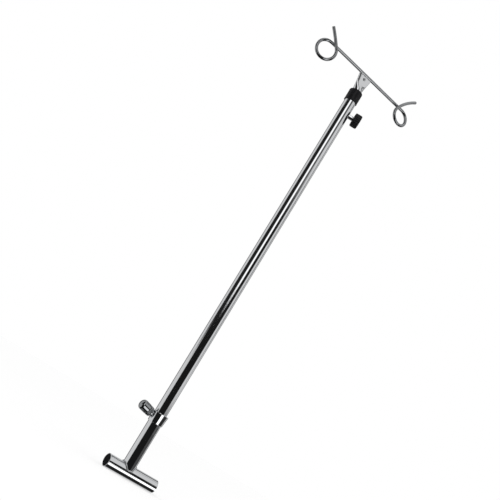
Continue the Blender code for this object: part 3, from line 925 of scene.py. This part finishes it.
# Soft boxes and flags of the studio: bearing from the camera's side in degrees
# (from, to), height in degrees (from, to), softness of the edges, brightness.
STUDIO = (
    ((-180.0, 180.0), (-90.0, -48.0), (4.0, 4.0), 0.015),
    ((40.0, 122.0), (-50.0, 1.2), (4.0, 1.5), 0.07),
    ((70.0, 130.0), (-50.0, -7.0), (3.0, 2.0), 0.012),
    ((-50.0, 59.0), (-50.0, 9.5), (3.0, 1.5), 0.010),
    ((-78.0, -17.0), (6.0, 90.0), (3.0, 2.0), 0.015),
    ((13.0, 59.0), (6.0, 18.0), (2.0, 2.0), 0.012),
    ((15.0, 44.0), (17.0, 90.0), (3.0, 2.0), 0.10),
    ((-12.0, 10.0), (9.5, 90.0), (2.0, 1.5), 1.25),
    ((24.0, 54.0), (-24.0, -7.0), (2.0, 2.0), 1.7),
    ((48.0, 74.0), (-43.0, -17.0), (2.0, 2.0), 1.7),
    ((138.0, 164.0), (-30.0, 70.0), (4.0, 5.0), 0.06),
    ((-150.0, -126.0), (-30.0, 60.0), (4.0, 5.0), 0.08),
    ((96.0, 112.0), (4.0, 60.0), (4.0, 5.0), 0.12),
)
STUDIO_BASE = 0.66
BACKDROP = 1.0
SOFT_LIGHT = 1.05
FLOOR_GLOW = 0.53


def band(nodes, value, limits, softness):
    """Share, 0 to 1, that is 1 between two limits with soft edges."""
    rise = nodes.remap(value, limits[0] - softness, limits[0] + softness, 0.0, 1.0)
    fall = nodes.remap(value, limits[1] - softness, limits[1] + softness, 1.0, 0.0)
    return nodes.math("MULTIPLY", rise, fall)


def build_world():
    world = bpy.data.worlds.new("studio")
    bpy.context.scene.world = world
    world.use_nodes = True
    tree = world.node_tree
    tree.nodes.clear()
    nodes = Nodes(tree)
    direction = nodes.add("ShaderNodeTexCoord").outputs["Generated"]

    def along_direction(vector):
        node = nodes.add("ShaderNodeVectorMath", operation="DOT_PRODUCT")
        nodes.link(direction, node.inputs[0])
        node.inputs[1].default_value = vector
        return node.outputs["Value"]

    facing = along_direction((sin(CAMERA_AZIMUTH), -cos(CAMERA_AZIMUTH), 0.0))
    right = along_direction((cos(CAMERA_AZIMUTH), sin(CAMERA_AZIMUTH), 0.0))
    bearing = nodes.math("MULTIPLY", nodes.math("ARCTAN2", right, facing), 180.0 / pi)
    height = nodes.math(
        "MULTIPLY", nodes.math("ARCSINE", along_direction((0.0, 0.0, 1.0))), 180.0 / pi
    )
    value = STUDIO_BASE
    for bearings, heights, softness, brightness in STUDIO:
        share = nodes.math(
            "MULTIPLY",
            band(nodes, bearing, bearings, softness[0]),
            band(nodes, height, heights, softness[1]),
        )
        change = nodes.math("SUBTRACT", brightness, value)
        value = nodes.math("ADD", value, nodes.math("MULTIPLY", share, change))

    path = nodes.add("ShaderNodeLightPath")
    for ray, level in (("Is Diffuse Ray", SOFT_LIGHT), ("Is Camera Ray", BACKDROP)):
        change = nodes.math("SUBTRACT", level, value)
        value = nodes.math("ADD", value, nodes.math("MULTIPLY", path.outputs[ray], change))
    background = nodes.add("ShaderNodeBackground")
    nodes.link(value, background.inputs["Strength"])
    background.inputs["Color"].default_value = (1.0, 1.0, 1.0, 1.0)
    output = nodes.add("ShaderNodeOutputWorld")
    nodes.link(background.outputs["Background"], output.inputs["Surface"])


def build_floor():
    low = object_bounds()[0]
    bm = bmesh.new()
    size = 40.0
    level = low[2] - 0.0002
    corners = [(-size, -size), (size, -size), (size, size), (-size, size)]
    bm.faces.new([bm.verts.new((x, y, level)) for x, y in corners])
    material, shader, nodes, coordinates = new_material("pale_floor", 0.0)
    cloud = nodes.noise(coordinates, 3.0)
    nodes.link(
        nodes.mix_colour(cloud, (0.440, 0.440, 0.440), (0.450, 0.450, 0.450)),
        shader.inputs["Base Color"],
    )
    shader.inputs["Emission Color"].default_value = (1.0, 1.0, 1.0, 1.0)
    shader.inputs["Emission Strength"].default_value = FLOOR_GLOW
    shader.inputs["Roughness"].default_value = 1.0
    shader.inputs["Specular IOR Level"].default_value = 0.0
    floor = mesh_object("floor", bm, material)
    floor.visible_glossy = False


def build_camera():
    scene = bpy.context.scene
    azimuth, elevation, roll = CAMERA_AZIMUTH, CAMERA_ELEVATION, CAMERA_ROLL
    level = Vector((cos(azimuth), sin(azimuth), 0.0))
    back = Vector((
        sin(azimuth) * cos(elevation), -cos(azimuth) * cos(elevation), sin(elevation)
    ))
    up = back.cross(level)
    right = cos(roll) * level + sin(roll) * up
    top = -sin(roll) * level + cos(roll) * up
    aim = Vector((0.0, 0.0, CAMERA_AIM_HEIGHT)) + CAMERA_ASIDE * level
    camera_data = bpy.data.cameras.new("camera")
    camera_data.sensor_width = 36.0
    camera_data.lens = LENS
    camera_data.clip_start = 0.01
    camera_data.clip_end = 200.0
    camera = bpy.data.objects.new("camera", camera_data)
    scene.collection.objects.link(camera)
    turn = Matrix((right, top, back)).transposed().to_4x4()
    camera.matrix_world = Matrix.Translation(aim + CAMERA_DISTANCE * back) @ turn
    scene.camera = camera
    scene.view_settings.view_transform = "Standard"


def build_lights():
    """One large soft box above the front, for the sheen on the black plastic."""
    data = bpy.data.lights.new("soft_box", "AREA")
    data.shape = "RECTANGLE"
    data.size = 0.9
    data.size_y = 0.6
    data.energy = 3.0
    light = bpy.data.objects.new("soft_box", data)
    bpy.context.scene.collection.objects.link(light)
    light.visible_glossy = False
    light.visible_camera = False
    position = Vector((-0.9, -1.4, 1.7))
    away_from_aim = Vector((-0.9, -1.4, 1.2)).normalized()
    light.matrix_world = along(position, away_from_aim)


def main():
    materials = make_materials()
    build_camera()
    build_world()
    build_floor()
    build_lights()
    build_tee(materials)
    tee_low, tee_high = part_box("tee_tube")
    build_plug("left_plug_fine", "tee_plug_left", tee_low.x, -1.0, materials)
    build_plug("right_plug_fine", "tee_plug_right", tee_high.x, 1.0, materials)
    build_socket(materials)
    build_tee_weld(materials)
    build_collar(materials)
    build_main_tube(materials)
    build_cap(materials)
    build_inner_tube(materials)
    build_hook_wire(materials)
    build_hook_weld("front_weld_rippled", "hook_weld_front", -1.0, materials)
    build_hook_weld("back_weld_rippled", "hook_weld_back", 1.0, materials)
    build_rivet(materials)
    build_lower_screw(materials)
    build_bosses(materials)
    build_knob(materials)
    finish_hidden_nodes(materials)


main()
